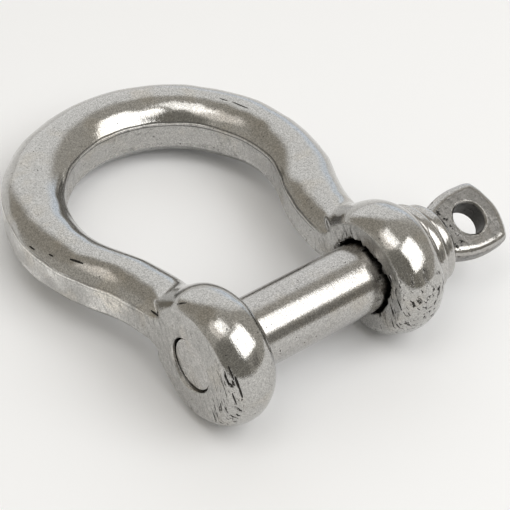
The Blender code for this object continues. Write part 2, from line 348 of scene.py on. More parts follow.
def follow_bar(points):
    """(offset outwards, y on the centreline) of each point."""
    x, y = np.abs(points[:, 0]), points[:, 1]
    bow_angle = np.arctan2(y - BOW_Y, x)
    flare_angle = np.arctan2(y - LEG_STRAIGHT_Y, FLARE_X - x)
    on_bow = bow_angle >= -MEET
    on_flare = ~on_bow & (flare_angle > 0.0)
    from_bow = np.hypot(x, y - BOW_Y) - BOW_RADIUS
    from_flare = FLARE_RADIUS - np.hypot(x - FLARE_X, y - LEG_STRAIGHT_Y)
    offset = np.where(on_bow, from_bow, np.where(on_flare, from_flare, x - EAR_MID_X))
    bow_y = BOW_Y + BOW_RADIUS * np.sin(bow_angle)
    flare_y = LEG_STRAIGHT_Y + FLARE_RADIUS * np.sin(flare_angle)
    return offset, np.where(on_bow, bow_y, np.where(on_flare, flare_y, y))


def bar_radius(on_y):
    neck = smooth_step(LEG_END_Y, NECK_Y, on_y)
    grow = smooth_step(GROW_FROM_Y, CROWN_Y, on_y)
    thin = BAR_END_RADIUS + (BAR_LEG_RADIUS - BAR_END_RADIUS) * neck
    return thin + (BAR_CROWN_RADIUS - BAR_LEG_RADIUS) * grow


def bar_field(points):
    """The round bar, with a trimmed land along its inner and outer sides and a fine ridge."""
    offset, on_y = follow_bar(points)
    radius = bar_radius(on_y)
    round_part = np.hypot(offset, points[:, 2]) - radius
    land = np.abs(offset) - (radius - LAND_DEPTH)
    corner = np.hypot(land, round_part)
    ridge = np.where(offset < 0.0, RIDGE_HEIGHT, OUTER_RIDGE * RIDGE_HEIGHT)
    ridge = ridge * np.exp(-((corner / RIDGE_WIDTH) ** 2))
    solid = np.maximum(round_part, land) - ridge
    return np.maximum(solid, LEG_END_Y - points[:, 1])


def ear_field(points, side):
    """An ear: a disc across the pin with a round rim and faces ground flat."""
    across = points[:, 0] - side * EAR_MID_X
    reach = np.hypot(points[:, 1] - EAR_SHIFT, points[:, 2])
    half, rim = EAR_THICKNESS / 2, EAR_RADIUS - EAR_FLAT_RADIUS
    past = np.maximum(reach - EAR_FLAT_RADIUS, 0.0)
    round_part = (np.hypot(across / half, past / rim) - 1.0) * rim
    return np.maximum(round_part, np.abs(across) - (half - FACE_TRIM))


def web_field(points):
    """The flat webs that join a leg's two lands to the faces of its ear."""
    across = np.abs(np.abs(points[:, 0]) - EAR_MID_X) - (EAR_THICKNESS / 2 - FACE_TRIM)
    height = WEB_HEIGHT + WEB_SLOPE * np.clip(WEB_TOP_Y - points[:, 1], 0.0, WEB_TOP_Y)
    prism = rounded_slab(across, points[:, 2], height, WEB_EDGE)
    return np.maximum(prism, np.maximum(points[:, 1] - WEB_TOP_Y, -points[:, 1]))


def bow_field(points):
    """The whole bow's surface: bar, ears and webs run together, with shallow forged waves."""
    bar = bar_field(points)
    ears = np.minimum(ear_field(points, -1), ear_field(points, 1))
    height = smooth_step(SIDE_TOP, JOINT_FOOT, np.abs(points[:, 2]))
    solid = smooth_min(bar, ears, SIDE_BLEND + (JOINT_BLEND - SIDE_BLEND) * height)
    solid = smooth_min(solid, web_field(points), WEB_BLEND)
    dents = waves(points, 8.0, seed=5) + 0.45 * waves(points, 3.2, seed=6)
    return solid + WAVE_HEIGHT * (WAVE_SINK + dents)


def eye_outline():
    """The eye's outline, smoothed by a Catmull-Rom curve through its corners."""
    half = list(EYE_OUTLINE)
    corners = [Vector(corner) for corner in half + [(x, -y) for x, y in reversed(half[:-1])]]
    smooth = []
    last = len(corners) - 1
    for i in range(last):
        before, start = corners[max(i - 1, 0)], corners[i]
        end, after = corners[i + 1], corners[min(i + 2, last)]
        for step in range(EYE_CURVE_STEPS):
            t = step / EYE_CURVE_STEPS
            rise = (end - before) * t
            bend = (2 * before - 5 * start + 4 * end - after) * t**2
            twist = (3 * start - before - 3 * end + after) * t**3
            smooth.append(0.5 * (2 * start + rise + bend + twist))
    smooth.append(corners[-1])
    return [(p.x, p.y) for p in smooth]


EYE_CURVE = eye_outline()


def eye_axes(points):
    """(across, raised) of each point from the eye's middle plane."""
    cos_turn, sin_turn = math.cos(EYE_TURN), math.sin(EYE_TURN)
    across = points[:, 1] * cos_turn + points[:, 2] * sin_turn
    raised = points[:, 2] * cos_turn - points[:, 1] * sin_turn
    return across, raised


def head_field(points):
    """The pin's shoulder, a rounded bead, running into the flat eye."""
    across, raised = eye_axes(points)
    plate = outline_distance(points[:, 0], across, EYE_CURVE)
    plate = rounded_slab(plate, raised, EYE_THICKNESS / 2, EYE_EDGE)
    near, far = SHOULDER_X + BEAD_EDGE, SHOULDER_X + SHOULDER_THICKNESS
    profile = [
        (near, 0.0),
        (near, SHOULDER_RADIUS - BEAD_EDGE),
        (SHOULDER_X + BEAD_TOP, SHOULDER_RADIUS - BEAD_EDGE),
        (far - BEAD_TAPER, SHOULDER_END_RADIUS - 0.35),
        (far - BEAD_EDGE, SHOULDER_END_RADIUS - BEAD_EDGE - 0.4),
        (far - BEAD_EDGE, 0.0),
    ]
    reach = np.hypot(points[:, 1], points[:, 2])
    bead = outline_distance(points[:, 0], reach, profile) - BEAD_EDGE
    dents = waves(points, 6.0, seed=15) + 0.6 * waves(points, 2.2, seed=16)
    return smooth_min(plate, bead, EYE_BLEND) + HEAD_WAVE_HEIGHT * (WAVE_SINK + dents)


def field_slope(points, field, step=0.01):
    """The field's gradient by central differences."""
    slope = np.empty_like(points)
    for axis in range(3):
        shift = np.zeros(3)
        shift[axis] = step
        slope[:, axis] = (field(points + shift) - field(points - shift)) / (2 * step)
    return slope


def settle(points, field, rounds, least_square=0.05, longest_move=0.3):
    """Moves points onto the field's zero surface along its gradient."""
    for _ in range(rounds):
        slope = field_slope(points, field)
        square = np.maximum((slope**2).sum(1), least_square)
        move = -(field(points) / square)[:, None] * slope
        size = np.linalg.norm(move, axis=1, keepdims=True)
        points = points + move * np.minimum(1.0, longest_move / np.maximum(size, 1e-9))
    return points


# ---- meshes ----


def mesh_points(mesh):
    flat = np.empty(len(mesh.vertices) * 3, np.float32)
    mesh.vertices.foreach_get("co", flat)
    return flat.reshape(-1, 3).astype(float)


def set_points(mesh, points):
    mesh.vertices.foreach_set("co", points.astype(np.float32).ravel())
    mesh.update()


def object_of(name, bm):
    bmesh.ops.recalc_face_normals(bm, faces=bm.faces)
    mesh = bpy.data.meshes.new(name)
    bm.to_mesh(mesh)
    bm.free()
    obj = bpy.data.objects.new(name, mesh)
    bpy.context.scene.collection.objects.link(obj)
    return obj


def apply_modifiers(obj):
    graph = bpy.context.evaluated_depsgraph_get()
    made = bpy.data.meshes.new_from_object(obj.evaluated_get(graph))
    obj.modifiers.clear()
    obj.data = made


def boolean(target, tool, operation):
    """Joins tool to target, or cuts it away, and removes the tool."""
    modifier = target.modifiers.new(operation, "BOOLEAN")
    modifier.object = tool
    modifier.operation = operation
    modifier.solver = "MANIFOLD"
    apply_modifiers(target)
    bpy.data.objects.remove(tool, do_unlink=True)


def add_rings(bm, rings):
    """Bridges rings of points in order and closes both ends with a fan."""
    made = [[bm.verts.new(point) for point in ring] for ring in rings]
    for low, high in zip(made, made[1:]):
        for i in range(len(low)):
            j = (i + 1) % len(low)
            bm.faces.new((low[i], low[j], high[j], high[i]))
    for ring in (made[0], made[-1]):
        middle = bm.verts.new(sum((v.co for v in ring), Vector()) / len(ring))
        for i in range(len(ring)):
            bm.faces.new((middle, ring[i], ring[(i + 1) % len(ring)]))


def ring_about_x(x, radius, steps, centre_y=0.0):
    turns = [math.tau * i / steps for i in range(steps)]
    return [(x, centre_y + radius * math.cos(a), radius * math.sin(a)) for a in turns]


def lathe(name, profile, steps):
    """A solid of revolution about X from (x, radius) pairs, all off the axis."""
    bm = bmesh.new()
    add_rings(bm, [ring_about_x(x, radius, steps) for x, radius in profile])
    return object_of(name, bm)


def arc(centre_x, centre_r, radius, start, end, steps=8):
    """(x, radius) points on a round edge, with angles in degrees from +X."""
    turns = [math.radians(start + (end - start) * i / steps) for i in range(steps + 1)]
    return [(centre_x + radius * math.cos(a), centre_r + radius * math.sin(a)) for a in turns]


def remesh(obj, voxel, field, rounds=6, smooth_rounds=3):
    """Turns rough overlapping shells into one even skin lying on the field's surface."""
    modifier = obj.modifiers.new("skin", "REMESH")
    modifier.mode = "VOXEL"
    modifier.voxel_size = voxel
    apply_modifiers(obj)
    set_points(obj.data, settle(mesh_points(obj.data), field, rounds))
    bm = bmesh.new()
    bm.from_mesh(obj.data)
    for _ in range(smooth_rounds):
        bmesh.ops.smooth_vert(
            bm, verts=bm.verts, factor=0.5, use_axis_x=True, use_axis_y=True, use_axis_z=True
        )
    bm.to_mesh(obj.data)
    bm.free()
    set_points(obj.data, settle(mesh_points(obj.data), field, rounds))


def bar_frame(length):
    """Centreline point and outward direction at a length along the right half from the ear."""
    flare_length = FLARE_RADIUS * MEET
    if length < LEG_STRAIGHT_Y:
        return Vector((EAR_MID_X, length, 0.0)), Vector((1.0, 0.0, 0.0))
    if length < LEG_STRAIGHT_Y + flare_length:
        turn = (length - LEG_STRAIGHT_Y) / FLARE_RADIUS
        out = Vector((math.cos(turn), -math.sin(turn), 0.0))
        return Vector((FLARE_X, LEG_STRAIGHT_Y, 0.0)) - FLARE_RADIUS * out, out
    turn = (length - LEG_STRAIGHT_Y - flare_length) / BOW_RADIUS - MEET
    out = Vector((math.cos(turn), math.sin(turn), 0.0))
    return Vector((0.0, BOW_Y, 0.0)) + BOW_RADIUS * out, out


def bow_blank(steps=60, sides=32, rim_steps=16, ear_sides=64):
    """Rough overlapping shells of the bar and both ears."""
    bm = bmesh.new()
    whole = LEG_STRAIGHT_Y + FLARE_RADIUS * MEET + BOW_RADIUS * (MEET + math.pi / 2)
    lengths = [LEG_END_Y + (whole - LEG_END_Y) * i / steps for i in range(steps + 1)]
    stations = [bar_frame(length) for length in lengths]
    flip = Vector((-1.0, 1.0, 1.0))
    stations += [(point * flip, out * flip) for point, out in reversed(stations[:-1])]
    turns = [math.tau * i / sides for i in range(sides)]
    rings = []
    for point, out in stations:
        radius = float(bar_radius(np.array([point.y]))[0])
        rings.append(
            [point + radius * (math.cos(a) * out + Vector((0.0, 0.0, math.sin(a)))) for a in turns]
        )
    add_rings(bm, rings)
    half, rim = EAR_THICKNESS / 2, EAR_RADIUS - EAR_FLAT_RADIUS
    for side in (-1, 1):
        rings = []
        for i in range(rim_steps + 1):
            turn = math.pi * i / rim_steps
            x = side * EAR_MID_X - half * math.cos(turn)
            radius = EAR_FLAT_RADIUS + rim * math.sin(turn)
            rings.append(ring_about_x(x, radius, ear_sides, EAR_SHIFT))
        add_rings(bm, rings)
    return object_of("bow", bm)


def head_blank(inset=0.4, sides=48):
    """Rough shells of the shoulder and the eye."""
    bm = bmesh.new()
    far = SHOULDER_X + SHOULDER_THICKNESS
    add_rings(bm, [ring_about_x(x, SHOULDER_RADIUS - inset, sides) for x in (SHOULDER_X, far)])
    across = Vector((0.0, math.cos(EYE_TURN), math.sin(EYE_TURN)))
    raised = Vector((0.0, -math.sin(EYE_TURN), math.cos(EYE_TURN)))
    rings = []
    for level in (-1, 1):
        lift = raised * (level * EYE_THICKNESS / 2)
        rings.append([Vector((x, 0.0, 0.0)) + across * y + lift for x, y in EYE_CURVE])
    add_rings(bm, rings)
    return object_of("head", bm)


def thread(name, x_from, x_to, crest, root, crest_flat, root_flat, steps=72):
    """A right-handed threaded rod at least as long as asked, with ragged ends to cut off."""
    outline = (
        (-crest_flat / 2, crest),
        (crest_flat / 2, crest),
        (PITCH / 2 - root_flat / 2, root),
        (PITCH / 2 + root_flat / 2, root),
    )
    start = math.floor(x_from / PITCH) - 1
    turns = math.ceil(x_to / PITCH) + 1 - start
    count = turns * steps
    bm = bmesh.new()

    def point(step, x_offset, radius):
        angle = math.tau * step / steps + THREAD_TURN
        x = PITCH * (start + step / steps) + x_offset
        return bm.verts.new((x, radius * math.cos(angle), radius * math.sin(angle)))

    first = [point(step, *outline[0]) for step in range(count + steps + 1)]
    rows = [
        [first[step]] + [point(step, *place) for place in outline[1:]] + [first[step + steps]]
        for step in range(count + 1)
    ]
    for row, after in zip(rows, rows[1:]):
        for k in range(len(outline)):
            bm.faces.new((row[k], row[k + 1], after[k + 1], after[k]))
    low_end = first[: steps + 1] + rows[0][-2:0:-1]
    high_end = first[count:] + rows[-1][-2:0:-1]
    for loop, x in ((low_end, PITCH * start), (high_end, PITCH * (start + turns + 1))):
        centre = bm.verts.new((x, 0.0, 0.0))
        for a, b in zip(loop, loop[1:] + loop[:1]):
            bm.faces.new((centre, a, b))
    return object_of(name, bm)


def mouth_flare(angle, depth, side, phases):
    """How far a bore's mouth opens out at an angle and a depth. Side 0 is the jaw's."""
    ragged = sum(
        math.sin(rate * angle + phase) / (1 + MOUTH_RIPPLE_FADE * rate)
        for rate, phase in zip(MOUTH_RATES, phases)
    )
    flare = MOUTH_FLARE[side]
    if side == 0:
        torn = sum(
            strength * math.exp(-(((angle - middle) / width) ** 2))
            for middle, width, strength in TEARS
        )
        flare = flare + TEAR_FLARE * torn
    return math.exp(-depth / MOUTH_FADE) * flare * max(MOUTH_LEAST, 1.0 + MOUTH_RAGGED * ragged)


def ragged_bore(name, low, high, steps=240, seed=31):
    """A bore cutter along X, between two faces, whose mouths open out unevenly."""
    rng = np.random.default_rng(seed)
    phases = rng.uniform(0.0, math.tau, (2, 16))
    turns = [math.tau * i / steps for i in range(steps)]
    stops = [(low - PAST, 0.0, 0)]
    stops += [(low + depth, depth, 0) for depth in MOUTH_STOPS]
    stops += [(high - depth, depth, 1) for depth in reversed(MOUTH_STOPS)]
    stops += [(high + PAST, 0.0, 1)]
    rings = []
    for x, depth, side in stops:
        radii = [BORE_RADIUS + mouth_flare(a, depth, side, phases[side]) for a in turns]
        rings.append([(x, r * math.cos(a), r * math.sin(a)) for r, a in zip(radii, turns)])
    bm = bmesh.new()
    add_rings(bm, rings)
    return object_of(name, bm)


def nick(start, end, half_width, steps=8, sides=10, bluntness=0.6, rounds=4):
    """A slim pointed cutter along the bow's surface, between two points near it."""
    start, end = (Vector(p) for p in settle(np.array([start, end]), bow_field, rounds))
    along = (end - start).normalized()
    side = along.orthogonal().normalized()
    other = along.cross(side)
    turns = [math.tau * i / sides for i in range(sides)]
    rings = []
    for k in range(1, steps):
        share = k / steps
        radius = half_width * math.sin(math.pi * share) ** bluntness
        middle = np.array([start.lerp(end, share)])
        centre = Vector(settle(middle, bow_field, rounds)[0])
        rings.append([centre + radius * (math.cos(a) * side + math.sin(a) * other) for a in turns])
    bm = bmesh.new()
    add_rings(bm, rings)
    return object_of("nick", bm)


def place_in_row(obj):
    """Keeps the shackle-frame coordinates as an attribute, then moves the mesh to the row frame."""
    points = mesh_points(obj.data)
    keep = obj.data.attributes.new("shackle_mm", "FLOAT_VECTOR", "POINT")
    keep.data.foreach_set("vector", points.astype(np.float32).ravel())
    obj.data.transform(PLACE)
    obj.data.shade_smooth()
    obj.data.set_sharp_from_angle(angle=SHARP_ANGLE)


def add_field(obj, name, values):
    field = obj.data.attributes.new(name, "FLOAT", "POINT")
    field.data.foreach_set("value", values.astype(np.float32))


def add_mask(obj, name, values):
    add_field(obj, name, np.clip(values, 0.0, 1.0))


def cut_threaded_ear(bow):
    """The left ear's thread, the counterbore on its jaw side and the plain mouth outside."""
    inner, outer = -JAW_HALF - FACE_TRIM, -EAR_OUTER_X + FACE_TRIM
    ear_thread = thread(
        "ear_thread", -EAR_OUTER_X, -JAW_HALF, EAR_CREST, EAR_ROOT, EAR_CREST_FLAT, EAR_ROOT_FLAT
    )
    wide = EAR_CREST + GAP
    reach = lathe("thread_reach", [(outer + LIP_DEPTH, wide), (-JAW_HALF + PAST, wide)], BORE_STEPS)
    boolean(ear_thread, reach, "INTERSECT")
    boolean(bow, ear_thread, "DIFFERENCE")
    counterbore = [
        (inner - COUNTERBORE_DEPTH, BORE_RADIUS),
        (inner + PAST, BORE_RADIUS + COUNTERBORE_TAPER),
    ]
    boolean(bow, lathe("counterbore", counterbore, BORE_STEPS), "DIFFERENCE")
    mouth = [
        (outer - PAST, LIP_RADIUS + PAST + LIP_CHAMFER),
        (outer + LIP_CHAMFER, LIP_RADIUS),
        (outer + LIP_DEPTH + LIP_OVERLAP, LIP_RADIUS),
    ]
    boolean(bow, lathe("thread_mouth", mouth, BORE_STEPS), "DIFFERENCE")


def paint_bow(bow):
    """The bow's finish: matte lands and faces, polished rims, painted shade with some soot in the
    clear bore's mouth, painted shade in the nicks, painted light on the outer land, wear, and the
    land's seam with a painted highlight and painted shade lines.
    """
    points = mesh_points(bow.data)
    x, y, z = points.T
    offset, on_y = follow_bar(points)
    radius = bar_radius(on_y)
    left = x < 0.0
    near_ear = smooth_step(*EAR_ZONE, y)
    from_ear = np.hypot(y - EAR_SHIFT, z)

    land = smooth_step(*LAND_ZONE, np.abs(offset) - (radius - LAND_DEPTH))
    across = np.abs(x - np.where(left, -1, 1) * EAR_MID_X)
    face = smooth_step(*FACE_ZONE, across - (EAR_THICKNESS / 2 - FACE_TRIM)) * near_ear
    add_mask(bow, "matte", np.maximum(land * (1.0 - near_ear), face))
    add_mask(bow, "polish", smooth_step(*RIM_ZONE, from_ear) * near_ear * (1.0 - face))
    # Painted light: the outer land's colour is made paler, as if lit from the left
    add_mask(bow, "pale_and_painted_light", smooth_step(*OUTER_LAND_ZONE, y) * land * (offset > 0.0))

    reach = np.hypot(y, z)
    jaw_side = (x > 0.0) & (x < EAR_MID_X)
    torn = np.exp(-(((np.arctan2(z, y) - TORN_ANGLE) / TORN_WIDTH) ** 2))
    torn = np.where(jaw_side, torn, 0.0)
    # Painted shade with some soot in the clear bore's jaw-side mouth, reaching farther where the mouth
    # is torn
    edge = BORE_RADIUS + BORE_SHADE_EDGE + TORN_SHADE_EDGE * torn
    soot_and_shade = smooth_step(edge, BORE_RADIUS + BORE_WALL, reach)
    by_bore = reach < BORE_RADIUS + BORE_SHADE_REACH
    # Painted shade darkening the inside of the nicks
    nicked = (bow_field(points) < -NICK_DEPTH) & ~by_bore
    in_bore = by_bore & (x > JAW_HALF - BORE_MOUTH_DEPTH)
    add_mask(bow, "soot_and_shade", np.where(in_bore, soot_and_shade, 0.0) + NICK_SHADE * nicked)

    front = smooth_step(*WORN_FRONT_ZONE, y) * smooth_step(*WORN_HEIGHT_ZONE, np.abs(z - WORN_Z))
    worn = np.maximum(front, WORN_UNDER * smooth_step(*WORN_UNDER_ZONE, z))
    worn = worn * near_ear * smooth_step(*WORN_RING_ZONE, from_ear)
    on_face = WORN_REST + (1.0 - WORN_REST) * smooth_step(*WORN_FACE_ZONE, x)
    worn *= np.where(left, on_face, 1.0)
    round_bore = np.where(jaw_side, smooth_step(*BORE_SCUFF_ZONE, reach), 0.0) * near_ear
    round_bore *= np.where(y < BORE_BACK_Y, BORE_SCUFF, BORE_SCUFF_BACK)
    scuff = np.maximum(worn, round_bore)
    add_mask(bow, "scuff", scuff + LAND_SCUFF * land * (1.0 - near_ear))

    past_land = np.arctan2(np.abs(z), np.abs(offset)) - np.arccos((radius - LAND_DEPTH) / radius)
    seam = radius * past_land + SEAM_WANDER * waves(points, 4.0, seed=21)
    add_field(bow, "seam", np.clip(seam, -SEAM_LIMIT, SEAM_LIMIT))
    # Where the lip's painted highlight and the painted shade lines beside it show: on the upper side,
    # and weaker on the outer land
    upper = smooth_step(*UPPER_ZONE, z) * (1.0 - near_ear)
    add_mask(bow, "edge", upper * np.where(offset < 0.0, 1.0, OUTER_SEAM))


def make_bow(material):
    bow = bow_blank()
    remesh(bow, BOW_VOXEL, bow_field)
    cut_threaded_ear(bow)
    bore = ragged_bore("right_bore", JAW_HALF + FACE_TRIM, EAR_OUTER_X - FACE_TRIM)
    boolean(bow, bore, "DIFFERENCE")
    for start, end, half_width in NICKS:
        boolean(bow, nick(start, end, half_width), "DIFFERENCE")
    paint_bow(bow)
    finish_piece(bow, material, "bow", "shackle_bow")


def pin_shank():
    """The plain shank, from inside the thread to inside the shoulder."""
    core, edge = PIN_ROOT - SHANK_CORE_INSET, PIN_RADIUS - SHANK_EDGE
    profile = [(PIN_END_X + PAST, core), (SHANK_END_X, core), (SHANK_END_X, edge)]
    profile += [
        (SHANK_END_X + SHANK_EDGE - x, r) for x, r in arc(0, edge, SHANK_EDGE, 0, 90, steps=6)
    ]
    first = SHANK_END_X + SHANK_RING_START
    profile += [(first + k * SHANK_RING_STEP, PIN_RADIUS) for k in range(SHANK_RINGS)]
    profile += [(SHOULDER_X + SHOULDER_THICKNESS / 2, PIN_RADIUS - SHANK_FOOT_INSET)]
    return lathe("shank", profile, TURNED_STEPS)


def pin_thread():
    """The threaded end, chamfered down to its root."""
    rod = thread(
        "rod", PIN_END_X, SHANK_END_X, PIN_CREST, PIN_ROOT, PIN_CREST_FLAT, PIN_ROOT_FLAT
    )
    envelope = [
        (PIN_END_X, PIN_CREST - PIN_CHAMFER - PIN_END_EDGE),
        (PIN_END_X + PIN_END_EDGE, PIN_CREST - PIN_CHAMFER),
        (PIN_END_X + PIN_CHAMFER + GAP, PIN_CREST + GAP),
        (SHANK_END_X + GAP, PIN_CREST + GAP),
    ]
    boolean(rod, lathe("envelope", envelope, BORE_STEPS), "INTERSECT")
    return rod


def eye_hole():
    """The cutter of the eye's hole. The rings in between give its wall points for the painted shade.
    """
    face, wide = EYE_THICKNESS / 2, EYE_HOLE_RADIUS + EYE_HOLE_CHAMFER
    wall = face - EYE_HOLE_CHAMFER
    inset, swell = 0.2, 0.01
    profile = [
        (-face - PAST, wide + PAST),
        (-wall, EYE_HOLE_RADIUS),
        (-wall + inset, EYE_HOLE_RADIUS + swell),
        (0.0, EYE_HOLE_RADIUS + 2 * swell),
        (wall - inset, EYE_HOLE_RADIUS + swell),
        (wall, EYE_HOLE_RADIUS),
        (face + PAST, wide + PAST),
    ]
    hole = lathe("eye_hole", profile, BORE_STEPS)
    up = Vector((0.0, -math.sin(EYE_TURN), math.cos(EYE_TURN)))
    facing = up.to_track_quat("X", "Z").to_matrix().to_4x4()
    hole.data.transform(Matrix.Translation((EYE_HOLE_X, 0.0, 0.0)) @ facing)
    return hole


def paint_pin(pin):
    """The pin's finish: polished shank and bevels, grainy eye, a paler end face and the hole's wall
    darkened with painted shade.
    """
    points = mesh_points(pin.data)
    x = points[:, 0]
    across, raised = eye_axes(points)
    height = np.abs(raised)
    near_face = height > EYE_THICKNESS / 2 - EYE_FLAT_DEPTH
    flat = smooth_step(*EYE_FLAT_ZONE, outline_distance(x, across, EYE_CURVE)) * near_face
    from_hole = np.hypot(x - EYE_HOLE_X, across)
    bevel = smooth_step(*EYE_BEVEL_ZONE, height) * (1.0 - flat)
    bevel = np.maximum(bevel, smooth_step(*HOLE_BEVEL_ZONE, from_hole))
    wall = from_hole < EYE_HOLE_RADIUS + BORE_WALL
    wall = wall & (height < EYE_THICKNESS / 2 - HOLE_WALL_INSET)
    on_eye = smooth_step(*EYE_ZONE, x - SHOULDER_X)
    end_face = (x < PIN_END_X + END_FACE_DEPTH).astype(float)
    pitted = smooth_step(*PITTED_ZONE, x) * (raised > 0.0)
    eye_matte = on_eye * (1.0 - EYE_BEVEL_SHINE * bevel)
    add_mask(pin, "matte", np.maximum(eye_matte, END_FACE_MATTE * end_face))
    # The pin's end face is made paler, which offsets its matte darkening
    add_mask(pin, "pale_and_painted_light", end_face)
    # Painted shade on the eye hole's wall; the full scuff added to the wall below darkens it further
    # with more dark strokes
    add_mask(pin, "soot_and_shade", HOLE_SHADE * wall)
    add_mask(pin, "scuff", on_eye * np.maximum(EYE_BEVEL_SCUFF * (1.0 - flat), pitted) + wall)
    add_mask(pin, "polish", smooth_step(*SHANK_ZONE, x - SHOULDER_X) * (x > SHANK_END_X))


def make_pin(material):
    pin = head_blank()
    remesh(pin, HEAD_VOXEL, head_field)
    boolean(pin, pin_shank(), "UNION")
    boolean(pin, pin_thread(), "UNION")
    boolean(pin, eye_hole(), "DIFFERENCE")
    paint_pin(pin)
    finish_piece(pin, material, "pin", "screw_pin")


def make_collar(material):
    far, top = COLLAR_X + COLLAR_THICKNESS, COLLAR_RADIUS - COLLAR_EDGE
    core, draft = 3.0, 0.02
    profile = [(COLLAR_X + draft, core)]
    profile += arc(COLLAR_X + COLLAR_EDGE, top, COLLAR_EDGE, 180, 90)
    profile += arc(far - COLLAR_EDGE, top, COLLAR_EDGE, 90, 0)
    profile += [(far - draft, core)]
    collar = lathe("collar", profile, TURNED_STEPS)
    ends = [(COLLAR_X - PAST, BORE_RADIUS), (far + PAST, BORE_RADIUS)]
    boolean(collar, lathe("collar_bore", ends, BORE_STEPS), "DIFFERENCE")
    points = mesh_points(collar.data)
    reach = np.hypot(points[:, 1], points[:, 2])
    # Painted shade on the bore's wall
    add_mask(collar, "soot_and_shade", reach < BORE_RADIUS + COLLAR_BORE_WALL)
    add_mask(collar, "polish", np.ones(len(points)))
    finish_piece(collar, material, "collar", "pin_collar")


def finish_piece(obj, material, body, node):
    place_in_row(obj)
    obj.name = body + "_visual"
    obj.data.materials.clear()
    obj.data.materials.append(material)
    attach(obj, body)
    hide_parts(node)


# ---- materials ----

# Noise runs from 0 to 1, and its scales are per millimetre
BRUSH_STRETCH = (3.4, 0.5, 0.5)
STROKE_STRETCH = (1.1, 0.42, 2.3)
STROKE_LEAN = math.radians(-63)  # how the scratches lean, about the pin's axis
SCUFF_REACH = 0.17  # how much deeper into the strokes a scuffed zone shows
DEEP_STROKES = (0.735, 0.785)
FAINT_STROKES = (0.50, 0.66)
SPECKS = (0.735, 0.77)
GRAIN_SPAN = (0.33, 0.67)
GRAIN_TONES = (0.70, 1.16)
GRIT_SPAN = (0.35, 0.65)
GRIT_TONES = (0.90, 1.06)
WARM_SPAN = (0.5, 0.7)
LIP_BAND = ((-0.26, -0.06), (0.0, 0.14))  # mm past the land's edge: fading in, fading out
GUTTER_BAND = ((0.06, 0.20), (0.24, 0.44))
UNDER_BAND = ((-0.46, -0.34), (-0.28, -0.16))
# painted highlight along the land's lip
LIP_HIGHLIGHT = 0.25
# painted light on the outer land, and a paler pin end
PALE_AND_LIGHT_GAIN = 0.55
BARE_ROUGHNESS = 0.10  # where the metal is neither matte nor polished
BRUSH_ROUGHNESS = 0.18
DARK_ZONE_ROUGHNESS = 0.4
BUMP_STRENGTH = 0.7
WARM_TINT = (1.0, 0.95, 0.87)
# colour of scratches and specks, and of the painted shade in the bores, nicks and the lines beside the
# lip
MARK_AND_SHADE_COLOUR = (0.03, 0.028, 0.025, 1.0)


class Nodes:
    """Adds nodes to one material's tree, each with its inputs given by name or number."""

    def __init__(self, tree):
        self.tree = tree

    def add(self, kind, inputs=None, **settings):
        node = self.tree.nodes.new(kind)
        for key, value in settings.items():
            setattr(node, key, value)
        for key, value in (inputs or {}).items():
            if isinstance(value, bpy.types.NodeSocket):
                self.tree.links.new(value, node.inputs[key])
            else:
                node.inputs[key].default_value = value
        return node

    def math(self, operation, a, b, clamp=False):
        node = self.add("ShaderNodeMath", {0: a, 1: b}, operation=operation, use_clamp=clamp)
        return node.outputs[0]

    def plus(self, a, b):
        return self.math("ADD", a, b)

    def minus(self, a, b):
        return self.math("SUBTRACT", a, b)

    def times(self, a, b):
        return self.math("MULTIPLY", a, b)

    def larger(self, a, b):
        return self.math("MAXIMUM", a, b)

    def mix(self, share, low, high):
        """Low to high by share, for numbers or sockets."""
        return self.add("ShaderNodeMix", {0: share, 2: low, 3: high}, data_type="FLOAT").outputs[0]

    def mix_colour(self, share, low, high):
        return self.add("ShaderNodeMix", {0: share, 6: low, 7: high}, data_type="RGBA").outputs[2]

    def span(self, value, low, high):
        """0 at low to 1 at high, eased at both ends."""
        node = self.add(
            "ShaderNodeMapRange",
            {"Value": value, "From Min": low, "From Max": high},
            interpolation_type="SMOOTHSTEP",
        )
        return node.outputs["Result"]

    def band(self, value, fade_in, fade_out):
        return self.minus(self.span(value, *fade_in), self.span(value, *fade_out))

    def noise(self, vector, scale, detail, roughness):
        node = self.add(
            "ShaderNodeTexNoise",
            {"Vector": vector, "Scale": scale, "Detail": detail, "Roughness": roughness},
        )
        return node.outputs["Fac"]

    def stretched(self, vector, scale):
        return self.add("ShaderNodeVectorMath", {0: vector, 1: scale}, operation="MULTIPLY").outputs[0]

    def mask(self, name):
        return self.add("ShaderNodeAttribute", attribute_name=name).outputs["Fac"]


